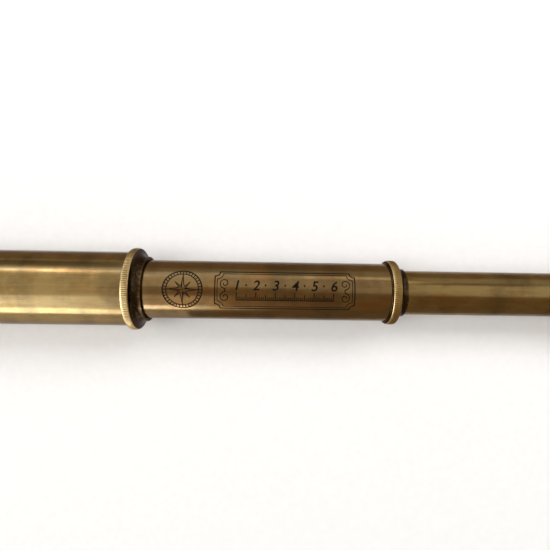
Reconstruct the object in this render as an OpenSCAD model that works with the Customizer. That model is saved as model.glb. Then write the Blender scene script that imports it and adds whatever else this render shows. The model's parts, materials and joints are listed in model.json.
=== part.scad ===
// Hand spyglass with a main barrel and two sliding draws, shown fully extended.
// The optical axis lies along X: objective at -X, eyepiece at +X, +Z up.
// The origin is under the middle of the extended length, at the lowest point of the rings.
// Stations named s_... are distances in millimetres behind the objective's front rim.

/* [Barrel] */
// Outer diameter of the main barrel tube
barrel_d = 40; // [38:0.5:44]
// Wall of the main barrel tube
barrel_wall = 0.9; // [0.7:0.1:1.2]
// Bare length of the barrel between the objective cell and the barrel collar
barrel_show = 164; // [160:1:200]

/* [First draw] */
// Outer diameter of the first draw tube
draw_1_d = 31.5; // [30:0.25:32]
// Wall of the first draw tube
draw_1_wall = 0.8; // [0.6:0.05:1]
// Bare length of the first draw when it is pulled right out
draw_1_show = 128.6; // [110:0.2:130]

/* [Second draw] */
// Outer diameter of the second draw tube
draw_2_d = 24.1; // [23:0.1:24.6]
// Wall of the second draw tube
draw_2_wall = 0.8; // [0.6:0.05:1]
// Bare length of the second draw when it is pulled right out
draw_2_show = 102; // [90:0.5:120]

/* [Collars] */
// Diameter over the knurl of the barrel collar
collar_1_d = 44.3; // [43:0.1:46]
// Width of the knurl of the barrel collar
collar_1_knurl_w = 3.8; // [3:0.1:6]
// Wall of the barrel collar's lip
collar_1_lip = 1.55; // [1.2:0.05:1.8]
// Length of the barrel collar's bush inside the barrel
collar_1_bush = 16; // [12:0.5:18]
// Diameter over the knurl of the first draw's collar
collar_2_d = 35.2; // [34:0.1:37]
// Width of the knurl of the first draw's collar
collar_2_knurl_w = 4.4; // [3:0.1:6]
// Wall of the first draw collar's lip
collar_2_lip = 0.75; // [0.6:0.05:1]
// Length of the first draw collar's bush inside the tube
collar_2_bush = 13; // [10:0.5:18]
// Length of the plain bead between a tube and a knurl
bead_w = 0.6; // [0.4:0.1:1]
// Height of that bead above the tube
bead_rise = 0.7; // [0.4:0.1:1]
// Step from the root of a knurl down to the cove
shoulder_step = 0.2; // [0.1:0.05:0.5]
// Length of the cove between a knurl and the lip
cove_w = 3.6; // [3:0.1:5]
// Length of the plain lip at a collar's mouth
lip_w = 1.2; // [0.8:0.1:2]
// Length of the close brass mouth in front of the cloth sleeve
mouth_len = 3.4; // [3.2:0.1:4]
// Thickness of the cloth sleeve in a collar
liner_t = 1.0; // [0.8:0.1:1.2]
// Length of a bush left bare behind its cloth sleeve
sleeve_inset = 1; // [0.5:0.1:2]
// Chamfer on a collar's bead
bead_chamfer = 0.2; // [0.1:0.05:0.3]
// Chamfer on a collar's lip
lip_chamfer = 0.25; // [0.1:0.05:0.4]

/* [Knurls] */
// Spacing of the straight knurl's teeth around a ring
knurl_pitch = 1.05; // [0.9:0.05:1.6]
// Depth of the knurl's teeth
knurl_depth = 0.25; // [0.2:0.05:0.4]
// Chamfer at both ends of a knurl
knurl_chamfer = 0.4; // [0.2:0.05:0.6]

/* [Stop rings] */
// Length of the guide ring on the first draw
stop_1_len = 8; // [6:0.5:9]
// Length of the guide ring on the second draw
stop_2_len = 7; // [5:0.5:10]
// Thickness of the glare lip that closes a guide ring round the tube's end
stop_lip = 1.2; // [0.8:0.1:2]
// Radial reach of that glare lip past the tube's bore
stop_reach = 1.0; // [0.5:0.1:1.5]
// Chamfer at both ends of a guide ring
stop_chamfer = 0.4; // [0.2:0.1:0.6]

/* [Objective cell] */
// Diameter over the knurl of the objective cell
cell_ring_d = 44.3; // [43:0.1:46]
// Width of the knurl of the objective cell
cell_knurl_w = 6; // [4:0.5:8]
// Diameter of the plain land that takes a push-on cap
cap_land_d = 41.2; // [40:0.1:42]
// Length of that land
cap_land_len = 8; // [6:0.5:12]
// Chamfer at the front of that land
cap_land_chamfer = 0.5; // [0.3:0.1:0.8]
// Length of the cove between the knurl and the barrel
cell_cove_w = 3; // [2:0.1:4]
// Diameter of the open recess in front of the objective
recess_d = 34.8; // [34:0.1:35.2]
// Depth of that recess
recess_depth = 6; // [5:0.5:8]
// Thickness of the seat that the objective's glass rests against
seat_t = 1.2; // [1:0.1:2]
// Clear aperture of the objective
aperture_d = 32.8; // [30:0.1:33.4]
// Diameter of the objective's glass
objective_d = 35.2; // [34.6:0.1:35.4]
// Length of the cell's thread inside the barrel
cell_thread = 7; // [5:0.5:8]
// Thickness of the ring that holds the objective
objective_ring_t = 2.7; // [2:0.1:3.5]
// Diameter of the hole in the glare stop behind the objective
glare_hole_d = 30; // [24:0.5:33]
// Length of the glare stop's rim
glare_rim_len = 2.4; // [1.8:0.1:4]
// Wall of the glare stop's rim
glare_rim_t = 0.8; // [0.5:0.1:1.2]

/* [Objective glass] */
// Front radius of the crown element
crown_r1 = 160; // [120:5:240]
// Radius of the cemented face between crown and flint
cement_r = 112; // [90:2:160]
// Back radius of the flint element, seen from its hollow side
flint_r = 900; // [400:50:1500]
// Edge thickness of the crown element
crown_edge = 3; // [2.5:0.1:4]
// Edge thickness of the flint element
flint_edge = 4; // [3.5:0.1:5]
// Thickness of the cement between the two
cement_t = 0.03; // [0.02:0.01:0.05]

/* [Erector] */
// Length of the erector tube
erector_len = 62; // [50:1:80]
// Wall of the erector tube
erector_wall = 1.6; // [1.4:0.1:2]
// Depth of the counterbore at each end that takes a lens and its ring
erector_seat = 6; // [5:0.5:8]
// Wall left round those counterbores
erector_rim = 0.9; // [0.7:0.05:1.1]
// Radius of the curved face of an erector lens
erector_lens_r = 24; // [20:0.5:40]
// Edge thickness of an erector lens
erector_edge = 2; // [1.5:0.1:2.5]
// Diameter of the hole in the erector's diaphragm
erector_hole_d = 5; // [3:0.5:10]

/* [Eyepiece] */
// Diameter over the knurl of the eyepiece collar
eye_collar_d = 29.4; // [28.4:0.1:32]
// Width of the knurl of the eyepiece collar
eye_knurl_w = 4; // [3:0.5:6]
// Length of the eyepiece collar's thread inside the draw
eye_thread = 8; // [6:0.5:12]
// Wall of that thread
eye_thread_t = 0.9; // [0.8:0.05:1]
// Length of the eyepiece tube
eye_tube_len = 38; // [34:0.5:44]
// Wall of the eyepiece tube
eye_tube_wall = 1.5; // [1.3:0.1:1.8]
// Wall left round the lens seats of the eyepiece tube
eye_rim = 0.7; // [0.6:0.05:0.9]
// Radius of the curved face of the field lens
field_lens_r = 20; // [16:0.5:30]
// Edge thickness of the field lens
field_edge = 1.6; // [1.2:0.1:2]
// Radius of the curved face of the eye lens
eye_lens_r = 15; // [13:0.5:25]
// Edge thickness of the eye lens
eye_edge = 1.4; // [1.2:0.1:1.8]
// Diameter of the hole in the field stop
field_hole_d = 10; // [6:0.5:13]
// Distance from the field stop to the rear end of the eyepiece tube
field_stop_back = 15.2; // [12:0.2:18]
// Length of a lens seat left past its ring
eye_seat_spare = 0.4; // [0.2:0.1:0.6]
// Thickness of a diaphragm disc
disc_t = 1; // [0.8:0.1:1.5]

/* [Eye cup] */
// Diameter over the knurled rim of the eye cup
cup_d = 35.2; // [34:0.1:38]
// Length of the eye cup
cup_len = 16; // [15:0.5:20]
// Width of the knurl at the eye cup's rim
cup_knurl_w = 3.6; // [3:0.2:5]
// Diameter of the eye cup's neck against the eyepiece collar
cup_neck_d = 25.6; // [25:0.1:26.6]
// Diameter of the dished recess that meets the eye
cup_recess_d = 31.2; // [30.6:0.1:31.6]
// Depth of that recess
cup_recess = 7.8; // [7.6:0.1:8.4]
// Thickness of the wall that holds the eye hole
cup_floor = 2.2; // [1.8:0.1:2.8]
// Diameter of the eye hole
eye_hole_d = 7; // [5:0.5:7.5]
// Chamfer at the eye cup's rim and at the foot of its flare
cup_chamfer = 0.6; // [0.4:0.1:0.8]

/* [Dust shutter] */
// Distance from the optical axis to the shutter's pivot
pivot_arm = 8.6; // [8.4:0.1:9]
// Diameter of the shutter leaf over the eye hole
leaf_d = 10; // [9.5:0.1:10.2]
// Thickness of the leaf
leaf_t = 0.8; // [0.6:0.1:1]
// Clearance under the leaf and over it
leaf_gap = 0.2; // [0.1:0.05:0.3]
// Diameter of the finger knob on the leaf
knob_d = 2; // [1.5:0.1:2.5]
// Height of that knob
knob_h = 1; // [0.6:0.1:1.4]
// Diameter of the leaf's eye round the pivot
leaf_eye_d = 4.8; // [4.4:0.1:5.2]
// Diameter of the pivot screw's shank
pivot_d = 2; // [1.6:0.1:2.4]
// Diameter of the pivot screw's head
pivot_head_d = 4; // [3.6:0.1:4.4]
// Height of the pivot screw's head
pivot_head_t = 1; // [0.8:0.1:1.2]
// Width of the slot in that head
screw_slot_w = 0.6; // [0.4:0.1:0.8]
// Depth of that slot
screw_slot_depth = 0.5; // [0.3:0.1:0.6]
// Swing of the leaf from closed to open
shutter_swing = 65; // [62:1:70]

/* [Rings and fits] */
// Thickness of a threaded retaining ring
ring_t = 1.8; // [1.4:0.1:2.2]
// Radial width of a small retaining ring
ring_w = 1.3; // [1:0.1:1.5]
// Width of the spanner slots in the retaining rings
spanner_w = 1.2; // [0.8:0.1:1.6]
// Depth of those slots
spanner_depth = 0.8; // [0.5:0.1:1]
// Radial clearance of a sliding or turning fit
run_gap = 0.06; // [0.03:0.01:0.09]
// Clearance of a screwed or seated fit
seat_gap = 0.05; // [0.03:0.01:0.08]
// Clearance between brass parts that pass without touching
pass_gap = 0.3; // [0.25:0.05:0.4]
// Gap left at a draw's stops, in and out
stop_gap = 0.3; // [0.2:0.05:0.5]

/* [Hidden] */
barrel_r = barrel_d / 2;
barrel_bore = barrel_r - barrel_wall;
draw_1_r = draw_1_d / 2;
draw_1_bore = draw_1_r - draw_1_wall;
draw_2_r = draw_2_d / 2;
draw_2_bore = draw_2_r - draw_2_wall;

// Total length of a collar outside its tube, from its knurl's width
function collar_len(knurl_w) = bead_w + knurl_w + cove_w + lip_w;

// Length of the objective cell outside the barrel
cell_len = cap_land_len + bead_w + cell_knurl_w + cell_cove_w + bead_w;
cell_bore = objective_d / 2 + seat_gap;

// Stations along the axis, from the objective's front rim
s_barrel = cell_len;
s_collar_1 = s_barrel + barrel_show;
s_mouth_1 = s_collar_1 + collar_len(collar_1_knurl_w);
s_collar_2 = s_mouth_1 + draw_1_show;
s_mouth_2 = s_collar_2 + collar_len(collar_2_knurl_w);
s_eye_collar = s_mouth_2 + draw_2_show;
s_cup = s_eye_collar + collar_len(eye_knurl_w);
total_len = s_cup + cup_len;

// Height of the optical axis over the lowest ring
axis_h = max(cell_ring_d, collar_1_d, cup_d) / 2;

// Travel of each draw from fully out to fully in
draw_1_travel = draw_1_show - stop_gap;
draw_2_travel = draw_2_show - stop_gap;

// Guide rings, each just short of its collar's bush when the draw is out
s_stop_1 = s_collar_1 - collar_1_bush - stop_gap - stop_1_len;
s_stop_2 = s_collar_2 - collar_2_bush - stop_gap - stop_2_len;
s_draw_1 = s_stop_1 + stop_lip + seat_gap;
s_draw_2 = s_stop_2 + stop_lip + seat_gap;

// Cloth sleeve pockets in the two collars
pocket_1 = draw_1_r + run_gap + liner_t + seat_gap;
pocket_2 = draw_2_r + run_gap + liner_t + seat_gap;

// Depth of a spherical face of radius r across a disc of radius a
function sag(r, a) = r - sqrt(r * r - a * a);

// How far a domed face of radius r and disc radius a stands back from a round seat of radius b
function dome_back(r, a, b) = sag(r, a) - sag(r, b);

// Objective glass, held between the cell's seat and its ring
s_seat = recess_depth + seat_t + dome_back(crown_r1, objective_d / 2, aperture_d / 2);
s_flint = s_seat + crown_edge;
s_objective_ring = s_flint + flint_edge + seat_gap;

// Erector tube, seated just behind the second draw's guide ring
s_erector = s_stop_2 + stop_2_len + pass_gap;
erector_r = draw_2_bore - seat_gap;
erector_bore = erector_r - erector_wall;
erector_glass_r = erector_r - erector_rim - seat_gap;
erector_glass_z = erector_seat - seat_gap - dome_back(erector_lens_r, erector_glass_r, erector_bore);

// Eyepiece tube, carried in the eyepiece collar's bore
eye_tube_r = draw_2_bore - seat_gap - eye_thread_t - seat_gap;
eye_tube_bore = eye_tube_r - eye_tube_wall;
eye_glass_r = eye_tube_r - eye_rim - seat_gap;
eye_socket = cup_len - cup_recess - cup_floor - seat_gap;
s_eye_tube = s_cup + eye_socket - eye_tube_len;
eye_seat = ring_t + eye_seat_spare + max(
    field_edge + dome_back(field_lens_r, eye_glass_r, eye_glass_r - ring_w),
    eye_edge + dome_back(eye_lens_r, eye_glass_r, eye_tube_bore));
s_eye_lens = s_eye_tube + eye_tube_len - eye_seat + seat_gap
    + dome_back(eye_lens_r, eye_glass_r, eye_tube_bore);
s_field_stop = s_eye_tube + eye_tube_len - field_stop_back;

// Dust shutter on the floor of the eye cup's recess
s_cup_floor = total_len - cup_recess;
s_leaf = s_cup_floor + leaf_gap;
screw_depth = cup_floor / 2;

// How far a cut runs past what it cuts, and a knurl reaches into what it stands on
over = 1;
// How far a turned outline stands clear of the teeth that it trims
trim = 0.01;
// How finely round parts are drawn
$fn = 120;

// Puts a part drawn along +Z at a station on the optical axis
module at(s) {
    translate([s - total_len / 2, 0, axis_h]) rotate([0, 90, 0]) children();
}

// Plain tube
module tube(r_out, r_in, len) {
    difference() {
        cylinder(r = r_out, h = len);
        translate([0, 0, -over]) cylinder(r = r_in, h = len + 2 * over);
    }
}

// Star outline of a straight knurl, with a tooth on each axis
module knurl_outline(r) {
    teeth = 4 * round(2 * PI * r / knurl_pitch / 4);
    polygon([for (i = [0 : 2 * teeth - 1])
        let (a = i * 180 / teeth, rr = i % 2 == 0 ? r : r - knurl_depth)
        [rr * cos(a), rr * sin(a)]]);
}

// Straight-knurled band with chamfered ends and a bore
module knurl_band(r, w, bore) {
    difference() {
        intersection() {
            linear_extrude(height = w) knurl_outline(r);
            rotate_extrude() polygon([
                [0, 0], [r - knurl_chamfer, 0], [r + trim, knurl_chamfer],
                [r + trim, w - knurl_chamfer], [r - knurl_chamfer, w], [0, w]]);
        }
        translate([0, 0, -over]) cylinder(r = bore, h = w + 2 * over);
    }
}

// Points of a concave quarter cove from a high radius down to a low one
function cove(z0, r_high, z1, r_low, steps = 10) =
    [for (i = [0 : steps]) let (t = i * 90 / steps)
        [r_high + (r_low - r_high) * sin(t), z1 + (z0 - z1) * cos(t)]];

// Screwed collar: bead, knurl, cove and lip outside, a threaded bush inside its tube.
// z = 0 is the shoulder that meets the end of the tube.
module collar(tube_r, tube_bore, knurl_r, knurl_w, lip_r, mouth_r, pocket_r, bush) {
    z_cove = bead_w + knurl_w;
    z_lip = z_cove + cove_w;
    z_end = z_lip + lip_w;
    root = knurl_r - knurl_depth - shoulder_step;
    bead_r = tube_r + bead_rise;
    difference() {
        union() {
            translate([0, 0, -bush]) cylinder(r = tube_bore - seat_gap, h = bush + bead_w);
            rotate_extrude() polygon(concat(
                [[0, 0], [bead_r - bead_chamfer, 0], [bead_r, bead_chamfer],
                 [bead_r, bead_w], [root, bead_w], [root, z_cove]],
                cove(z_cove, root, z_lip, lip_r),
                [[lip_r, z_end - lip_chamfer], [lip_r - lip_chamfer, z_end], [0, z_end]]));
            translate([0, 0, bead_w]) knurl_band(knurl_r, knurl_w, root - over);
        }
        translate([0, 0, -bush - over]) cylinder(r = mouth_r, h = bush + z_end + 2 * over);
        translate([0, 0, -bush - over])
            cylinder(r = pocket_r, h = bush + over + z_end - mouth_len);
    }
}

// Cloth sleeve that fills a collar's pocket, short of the bush's inner end
module cloth_sleeve(draw_r, pocket_r, bush, knurl_w) {
    len = bush + collar_len(knurl_w) - mouth_len - sleeve_inset - seat_gap;
    translate([0, 0, -bush + sleeve_inset]) tube(pocket_r - seat_gap, draw_r + run_gap, len);
}

// Guide ring screwed over the inner end of a draw, with a glare lip round the bore
module guide_ring(guide_r, tube_r, tube_bore, len) {
    difference() {
        rotate_extrude() polygon([
            [0, 0], [guide_r - stop_chamfer, 0], [guide_r, stop_chamfer],
            [guide_r, len - stop_chamfer], [guide_r - stop_chamfer, len], [0, len]]);
        translate([0, 0, -over]) cylinder(r = tube_bore - stop_reach, h = len + 2 * over);
        translate([0, 0, stop_lip]) cylinder(r = tube_r + seat_gap, h = len);
    }
}

// Threaded retaining ring with two spanner slots in its outer face, at the z = len end
module retaining_ring(r_out, r_in, len) {
    difference() {
        tube(r_out, r_in, len);
        translate([-r_out - over, -spanner_w / 2, len - spanner_depth])
            cube([2 * (r_out + over), spanner_w, spanner_depth + over]);
    }
}

// Points of a spherical face that bulges towards -Z: its rim lies at z and its pole at z - sag
function dome(r, a, z, steps = 12) =
    [for (i = [0 : steps]) let (x = a * i / steps) [x, z - sag(r, a) + sag(r, x)]];

// The same points in the other order
function reversed(p) = [for (i = [len(p) - 1 : -1 : 0]) p[i]];

// Lens with one curved face towards -Z and a flat face at z = edge
module plano_convex(a, r, edge) {
    rotate_extrude() polygon(concat(dome(r, a, 0), [[a, edge], [0, edge]]));
}

// Barrel group: the tube, the objective in its cell, and the collar that guides the first draw
module barrel_tube() {
    color("#8c7846") at(s_barrel + seat_gap) tube(barrel_r, barrel_bore, barrel_show - 2 * seat_gap);
}

module objective_cell() {
    z_knurl = cap_land_len + bead_w;
    z_cove = z_knurl + cell_knurl_w;
    z_foot = z_cove + cell_cove_w;
    land = cap_land_d / 2;
    root = cell_ring_d / 2 - knurl_depth - shoulder_step;
    foot = barrel_r + bead_rise;
    back = cell_len + cell_thread;
    color("#a58c55") at(0) difference() {
        union() {
            rotate_extrude() polygon(concat(
                [[0, 0], [land - cap_land_chamfer, 0], [land, cap_land_chamfer],
                 [land, cap_land_len], [root, z_knurl], [root, z_cove]],
                cove(z_cove, root, z_foot, foot),
                [[foot, cell_len], [0, cell_len]]));
            cylinder(r = barrel_bore - seat_gap, h = back);
            translate([0, 0, z_knurl]) knurl_band(cell_ring_d / 2, cell_knurl_w, root - over);
        }
        translate([0, 0, -over]) cylinder(r = recess_d / 2, h = recess_depth + over);
        translate([0, 0, -over]) cylinder(r = aperture_d / 2, h = back + 2 * over);
        translate([0, 0, recess_depth + seat_t]) cylinder(r = cell_bore, h = back);
    }
}

module objective_crown_lens() {
    a = objective_d / 2;
    color("#cfe3e8") at(s_seat + seat_gap) rotate_extrude() polygon(concat(
        dome(crown_r1, a, 0),
        reversed([for (p = dome(cement_r, a, 0)) [p[0], crown_edge - p[1] - cement_t]])));
}

module objective_flint_lens() {
    a = objective_d / 2;
    color("#c3d8d2") at(s_flint + seat_gap) rotate_extrude() polygon(concat(
        [for (p = dome(cement_r, a, 0)) [p[0], -p[1]]],
        reversed([for (p = dome(flint_r, a, 0)) [p[0], flint_edge + p[1] - seat_gap]])));
}

module objective_retaining_ring() {
    color("#2b2723") at(s_objective_ring)
        retaining_ring(cell_bore - seat_gap, aperture_d / 2, objective_ring_t);
}

// Blackened cup that presses into the barrel behind the cell's thread
module barrel_glare_stop() {
    rim_r = barrel_bore - seat_gap;
    color("#1e1c1a") at(cell_len + cell_thread + seat_gap) difference() {
        cylinder(r = rim_r, h = glare_rim_len);
        translate([0, 0, -over]) cylinder(r = glare_hole_d / 2, h = glare_rim_len + 2 * over);
        translate([0, 0, disc_t]) cylinder(r = rim_r - glare_rim_t, h = glare_rim_len);
    }
}

module barrel_collar() {
    color("#b09a62") at(s_collar_1) collar(barrel_r, barrel_bore, collar_1_d / 2, collar_1_knurl_w,
        draw_1_r + pass_gap + collar_1_lip, draw_1_r + pass_gap, pocket_1, collar_1_bush);
}

module barrel_cloth_sleeve() {
    color("#2a1f1a") at(s_collar_1)
        cloth_sleeve(draw_1_r, pocket_1, collar_1_bush, collar_1_knurl_w);
}

// First draw group
module draw_1_tube() {
    color("#7d5f3a") at(s_draw_1) tube(draw_1_r, draw_1_bore, s_collar_2 - seat_gap - s_draw_1);
}

module draw_1_guide_ring() {
    color("#8a6b3c") at(s_stop_1)
        guide_ring(barrel_bore - run_gap, draw_1_r, draw_1_bore, stop_1_len);
}

module draw_1_collar() {
    color("#a58d55") at(s_collar_2) collar(draw_1_r, draw_1_bore, collar_2_d / 2, collar_2_knurl_w,
        draw_2_r + pass_gap + collar_2_lip, draw_2_r + pass_gap, pocket_2, collar_2_bush);
}

module draw_1_cloth_sleeve() {
    color("#2a1f1a") at(s_collar_2)
        cloth_sleeve(draw_2_r, pocket_2, collar_2_bush, collar_2_knurl_w);
}

// Second draw group
module draw_2_tube() {
    color("#806f3c") at(s_draw_2) tube(draw_2_r, draw_2_bore, s_eye_collar - seat_gap - s_draw_2);
}

module draw_2_guide_ring() {
    color("#8a6b3c") at(s_stop_2)
        guide_ring(draw_1_bore - run_gap, draw_2_r, draw_2_bore, stop_2_len);
}

module erector_tube() {
    seat_r = erector_glass_r + seat_gap;
    color("#5a4a2c") at(s_erector) difference() {
        tube(erector_r, erector_bore, erector_len);
        translate([0, 0, -over]) cylinder(r = seat_r, h = erector_seat + over);
        translate([0, 0, erector_len - erector_seat])
            cylinder(r = seat_r, h = erector_seat + over);
    }
}

// The two erector lenses face each other with their curved sides
module erector_front_lens() {
    color("#cfe3e8") at(s_erector + erector_glass_z) mirror([0, 0, 1])
        plano_convex(erector_glass_r, erector_lens_r, erector_edge);
}

module erector_rear_lens() {
    color("#cfe3e8") at(s_erector + erector_len - erector_glass_z)
        plano_convex(erector_glass_r, erector_lens_r, erector_edge);
}

module erector_front_ring() {
    color("#2b2723") at(s_erector + erector_glass_z - erector_edge - seat_gap) mirror([0, 0, 1])
        retaining_ring(erector_glass_r, erector_glass_r - ring_w, ring_t);
}

module erector_rear_ring() {
    color("#2b2723") at(s_erector + erector_len - erector_glass_z + erector_edge + seat_gap)
        retaining_ring(erector_glass_r, erector_glass_r - ring_w, ring_t);
}

module erector_diaphragm() {
    color("#1e1c1a") at(s_erector + erector_len / 2)
        tube(erector_bore - seat_gap, erector_hole_d / 2, disc_t);
}

// Eyepiece: collar screwed into the draw, tube with two lenses, and the eye cup
module eyepiece_collar() {
    bore = eye_tube_r + seat_gap;
    color("#a58d55") at(s_eye_collar) collar(draw_2_r, draw_2_bore, eye_collar_d / 2, eye_knurl_w,
        cup_neck_d / 2, bore, bore, eye_thread);
}

module eyepiece_tube() {
    seat_r = eye_glass_r + seat_gap;
    color("#5a4a2c") at(s_eye_tube) difference() {
        tube(eye_tube_r, eye_tube_bore, eye_tube_len);
        translate([0, 0, -over]) cylinder(r = seat_r, h = eye_seat + over);
        translate([0, 0, eye_tube_len - eye_seat]) cylinder(r = seat_r, h = eye_seat + over);
    }
}

// Field lens with its curved side towards the objective, its flat back on the tube's shoulder
module field_lens() {
    color("#cfe3e8") at(s_eye_tube + eye_seat - field_edge - seat_gap)
        plano_convex(eye_glass_r, field_lens_r, field_edge);
}

module field_lens_ring() {
    ring_bore = eye_glass_r - ring_w;
    back = field_edge + dome_back(field_lens_r, eye_glass_r, ring_bore);
    color("#2b2723") at(s_eye_tube + eye_seat - back - 2 * seat_gap) mirror([0, 0, 1])
        retaining_ring(eye_glass_r, ring_bore, ring_t);
}

module field_stop() {
    color("#1e1c1a") at(s_field_stop)
        tube(eye_tube_bore - seat_gap, field_hole_d / 2, disc_t);
}

// Eye lens with its curved side towards the field lens, against the tube's rear shoulder
module eye_lens() {
    color("#cfe3e8") at(s_eye_lens) plano_convex(eye_glass_r, eye_lens_r, eye_edge);
}

module eye_lens_ring() {
    color("#2b2723") at(s_eye_lens + eye_edge + seat_gap)
        retaining_ring(eye_glass_r, eye_glass_r - ring_w, ring_t);
}

module eye_cup() {
    r_rim = cup_d / 2;
    root = r_rim - knurl_depth - shoulder_step;
    neck = cup_neck_d / 2;
    z_knurl = cup_len - cup_knurl_w - bead_w;
    z_floor = cup_len - cup_recess;
    color("#a58d55") at(s_cup + seat_gap) difference() {
        union() {
            rotate_extrude() polygon(concat(
                [[0, 0], [neck, 0]],
                reversed(cove(z_floor - cup_chamfer, root, cup_chamfer, neck)),
                [[root, cup_len - cup_chamfer], [root - cup_chamfer, cup_len - seat_gap],
                 [0, cup_len - seat_gap]]));
            translate([0, 0, z_knurl]) knurl_band(r_rim, cup_knurl_w, root - over);
        }
        translate([0, 0, -over])
            cylinder(r = eye_tube_r + seat_gap, h = eye_socket + seat_gap + over);
        translate([0, 0, -over]) cylinder(r = eye_hole_d / 2, h = cup_len + 2 * over);
        translate([0, 0, z_floor - seat_gap]) cylinder(r = cup_recess_d / 2, h = cup_len);
        translate([-pivot_arm, 0, z_floor - screw_depth])
            cylinder(r = pivot_d / 2 + seat_gap, h = cup_floor);
    }
}

// Slotted shoulder screw in the floor of the recess, above the eye hole
module shutter_pivot_screw() {
    head_z = leaf_gap + leaf_t + leaf_gap;
    color("#6a552e") at(s_cup_floor) translate([-pivot_arm, 0, 0]) difference() {
        union() {
            translate([0, 0, -screw_depth + seat_gap])
                cylinder(r = pivot_d / 2, h = screw_depth + head_z);
            translate([0, 0, head_z]) cylinder(r = pivot_head_d / 2, h = pivot_head_t);
        }
        translate([-pivot_head_d, -screw_slot_w / 2, head_z + pivot_head_t - screw_slot_depth])
            cube([2 * pivot_head_d, screw_slot_w, pivot_head_t]);
    }
}

// Flat leaf with a round eye at its pivot, shown swung clear of the eye hole
module eyepiece_shutter() {
    big = leaf_d / 2;
    small = leaf_eye_d / 2;
    a = acos((big - small) / pivot_arm);
    color("#a58d55") at(s_leaf) translate([-pivot_arm, 0, 0]) rotate([0, 0, shutter_swing]) {
        difference() {
            linear_extrude(height = leaf_t) union() {
                circle(r = small);
                translate([pivot_arm, 0]) circle(r = big);
                polygon([[-small * cos(a), small * sin(a)],
                    [pivot_arm - big * cos(a), big * sin(a)],
                    [pivot_arm - big * cos(a), -big * sin(a)],
                    [-small * cos(a), -small * sin(a)]]);
            }
            translate([0, 0, -over])
                cylinder(r = pivot_d / 2 + run_gap, h = leaf_t + 2 * over);
        }
        translate([pivot_arm + big - knob_d, 0, leaf_t]) cylinder(r = knob_d / 2, h = knob_h);
    }
}

barrel_tube();
objective_cell();
objective_crown_lens();
objective_flint_lens();
objective_retaining_ring();
barrel_glare_stop();
barrel_collar();
barrel_cloth_sleeve();
draw_1_tube();
draw_1_guide_ring();
draw_1_collar();
draw_1_cloth_sleeve();
draw_2_tube();
draw_2_guide_ring();
erector_tube();
erector_front_lens();
erector_front_ring();
erector_diaphragm();
erector_rear_lens();
erector_rear_ring();
eyepiece_collar();
eyepiece_tube();
field_lens();
field_lens_ring();
field_stop();
eye_lens();
eye_lens_ring();
eye_cup();
shutter_pivot_screw();
eyepiece_shutter();
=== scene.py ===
"""Antiqued brass spyglass with two draws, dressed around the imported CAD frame.

The CAD nodes fix every size and place. The parts that show are turned again here as smooth shells
with rounded edges and cut teeth, or have their edges rounded, and the hidden ones keep their CAD meshes.
"""

import json
import math

import bmesh
import bpy
from bpy.props import FloatProperty, FloatVectorProperty, IntProperty, PointerProperty
from mathutils import Matrix, Vector

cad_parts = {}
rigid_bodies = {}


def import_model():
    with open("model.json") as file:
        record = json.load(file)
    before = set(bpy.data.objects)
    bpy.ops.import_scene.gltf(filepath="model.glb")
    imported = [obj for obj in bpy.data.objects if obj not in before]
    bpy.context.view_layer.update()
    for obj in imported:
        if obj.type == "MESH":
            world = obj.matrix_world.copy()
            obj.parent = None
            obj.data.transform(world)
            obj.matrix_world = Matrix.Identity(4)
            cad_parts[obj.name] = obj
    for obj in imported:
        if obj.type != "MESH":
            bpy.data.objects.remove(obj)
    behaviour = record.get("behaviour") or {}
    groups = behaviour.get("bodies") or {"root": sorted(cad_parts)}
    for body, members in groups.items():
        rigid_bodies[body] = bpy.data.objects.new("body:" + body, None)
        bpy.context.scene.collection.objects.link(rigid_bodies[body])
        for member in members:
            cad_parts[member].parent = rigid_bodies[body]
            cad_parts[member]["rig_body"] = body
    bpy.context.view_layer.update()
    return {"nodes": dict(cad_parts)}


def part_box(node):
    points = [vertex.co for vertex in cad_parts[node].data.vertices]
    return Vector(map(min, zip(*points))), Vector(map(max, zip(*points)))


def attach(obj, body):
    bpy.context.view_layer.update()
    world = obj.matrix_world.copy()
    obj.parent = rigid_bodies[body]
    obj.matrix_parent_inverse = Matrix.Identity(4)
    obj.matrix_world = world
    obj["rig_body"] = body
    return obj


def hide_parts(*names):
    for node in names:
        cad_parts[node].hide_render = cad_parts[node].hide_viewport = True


bl_info = {
    "name": "Antique Brass Spyglass",
    "version": (1, 0, 0),
    "blender": (4, 5, 0),
    "location": "3D View > Sidebar > Spyglass",
    "description": "Turned tubes, knurled collars, glass, etched ornament and stage of a two-draw spyglass",
    "category": "Add Mesh",
}

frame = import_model()

MM = 0.001
FULL_TURN = 2 * math.pi
QUARTER = math.pi / 2
# Vertices nearer than these are merged, on a turned part and on a CAD mesh
TURNED_MERGE = MM / 500
CAD_MERGE = MM / 200
# A vertex nearer than this to the plane of a cut lies on it
ON_CUT = MM / 10000
# Straight steps of a cove, a lens's face, a circle, a hollow corner, a scroll and the floor's rim
COVE_STEPS = 10
GLASS_STEPS = 14
RING_STEPS = 72
CORNER_STEPS = 6
CURL_STEPS = 30
FLOOR_STEPS = 96
# A turned part is made of this many like sectors
SECTORS = 12
# Depth of the groove, as a share, at even steps across one tooth of a knurl
TOOTH_STEPS = (0.0, 0.0, 0.6, 1.0, 1.0, 0.6)
# Where a knurl's shoulder bends, as a share of its length and of its drop
SHOULDER_BEND = 0.4
# Degrees between two faces above which the shading breaks, on plain and on knurled parts
SMOOTH_BREAK = 35.0
KNURL_BREAK = 50.0
# Degrees between two CAD faces: above the first their edge is rounded, below the second they are one
ROUNDED_EDGE = 40.0
FLAT = 0.5
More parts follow.
